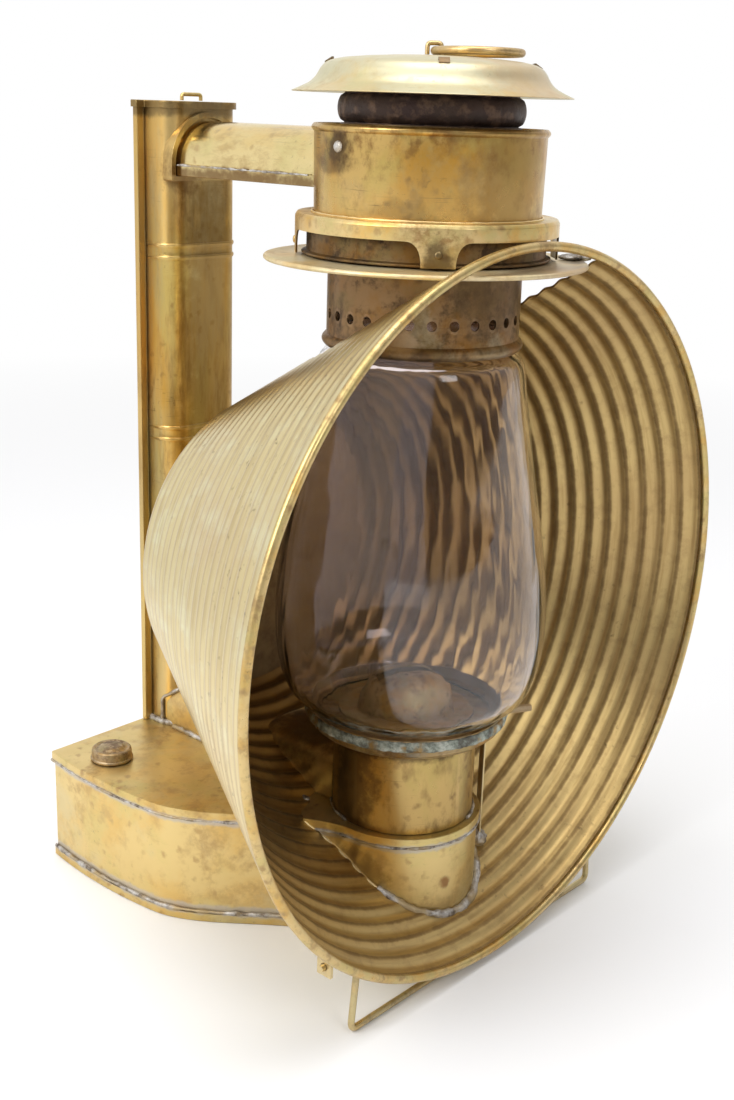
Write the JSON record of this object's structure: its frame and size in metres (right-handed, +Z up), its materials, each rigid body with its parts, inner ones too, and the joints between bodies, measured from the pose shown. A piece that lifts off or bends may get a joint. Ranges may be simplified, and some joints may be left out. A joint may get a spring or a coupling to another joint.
{
  "type": "kerosene lantern",
  "caption": "Tank-and-column sheet brass kerosene lantern with air ducts, lift-up bonnet, glass globe, flat wick burner and a wide ribbed conical reflector.",
  "frame": {"origin": "on the underside of the tank, below the burner's axis", "axes": "+Z up along the burner's axis, -Y out of the reflector's open front, +Y towards the column and the wall, +X to the right as seen from the front"},
  "size_m": [0.3004, 0.2131, 0.3729],
  "materials": {
    "tank_brass": "aged, stained, semi-polished sheet",
    "column_brass": "aged, brown streaks, semi-polished sheet",
    "duct_brass": "worn polish with scratches and solder stains",
    "lid_brass": "dull, pale, lightly tarnished",
    "reflector_brass": "rubbed, pale yellow outside and golden brown inside",
    "brown_brass": "heat-browned, matt",
    "verdigris_brass": "corroded, grey-green crust",
    "smoked_iron": "sooty, lightly rusted",
    "clear_glass": "clear with a faint violet tint",
    "cotton": "woven, matt",
    "leather": "dark, matt"
  },
  "bodies": {
    "housing": {"tank_wall": "tank_brass", "tank_bottom": "tank_brass", "tank_top": "tank_brass", "filler_neck": "tank_brass", "column_body": "column_brass", "column_back_plate": "column_brass", "column_lid": "column_brass", "column_staple": "column_brass", "upper_duct": "duct_brass", "upper_duct_floor": "duct_brass", "upper_duct_collar": "column_brass", "lower_duct": "tank_brass", "chamber_drum": "duct_brass", "chamber_top": "brown_brass", "skirt": "duct_brass", "disc": "lid_brass", "inner_drum": "brown_brass", "burner_chamber": "duct_brass", "globe_plate": "verdigris_brass", "fuel_collar": "brown_brass", "burner_cup": "brown_brass", "burner_deck": "brown_brass", "burner_dome": "brown_brass", "wick_tube": "brown_brass", "reflector": "reflector_brass", "reflector_rim": "reflector_brass", "side_strap": "tank_brass", "foot_lug_left": "tank_brass", "foot_lug_right": "tank_brass"},
    "bonnet": {"neck": "smoked_iron", "lid": "lid_brass", "globe_bell": "brown_brass", "ring_staple": "lid_brass"},
    "ring": {"lift_ring": "lid_brass"},
    "globe": {"globe": "clear_glass"},
    "gasket": {"filler_gasket": "leather"},
    "cap": {"filler_cap": "brown_brass"},
    "spindle": {"wick_spindle": "tank_brass"},
    "wick": {"wick": "cotton"},
    "foot": {"foot_wire": "tank_brass"}
  },
  "joints": [
    {"name": "bonnet_lift", "type": "slide", "parent": "housing", "child": "bonnet", "axis": [0, 0, 1], "range_m": [0, 0.016]},
    {"name": "ring_swing", "type": "hinge", "parent": "bonnet", "child": "ring", "pos_m": [0, 0, 0.3694], "axis": [-0.7071, -0.7071, 0], "range_deg": [0, 178]},
    {"name": "globe_lift", "type": "slide", "parent": "housing", "child": "globe", "axis": [0, 0, 1], "range_m": [0, 0.008]},
    {"name": "cap_rise", "type": "slide", "parent": "housing", "child": "gasket", "axis": [0, 0, 1], "range_m": [0, 0.0032]},
    {"name": "cap_turn", "type": "hinge", "parent": "gasket", "child": "cap", "pos_m": [-0.0645, 0.1235, 0.056], "axis": [0, 0, 1], "range_deg": [0, 720]},
    {"name": "wick_turn", "type": "hinge", "parent": "housing", "child": "spindle", "pos_m": [0.0023, 0.00433, 0.09], "axis": [-0.8829, 0.4695, 0], "range_deg": [0, 127.4]},
    {"name": "wick_rise", "type": "slide", "parent": "housing", "child": "wick", "axis": [0, 0, 1], "range_m": [0, 0.008]},
    {"name": "foot_swing", "type": "hinge", "parent": "housing", "child": "foot", "pos_m": [0, -0.047, 0.03777], "axis": [1, 0, 0], "range_deg": [-8, 15]}
  ],
  "couplings": [
    {"joint": "globe_lift", "follows": "bonnet_lift", "ratio": 0.5},
    {"joint": "cap_rise", "follows": "cap_turn", "m_per_rad": 0.00025464},
    {"joint": "wick_turn", "follows": "wick_rise", "rad_per_m": 277.78}
  ]
}
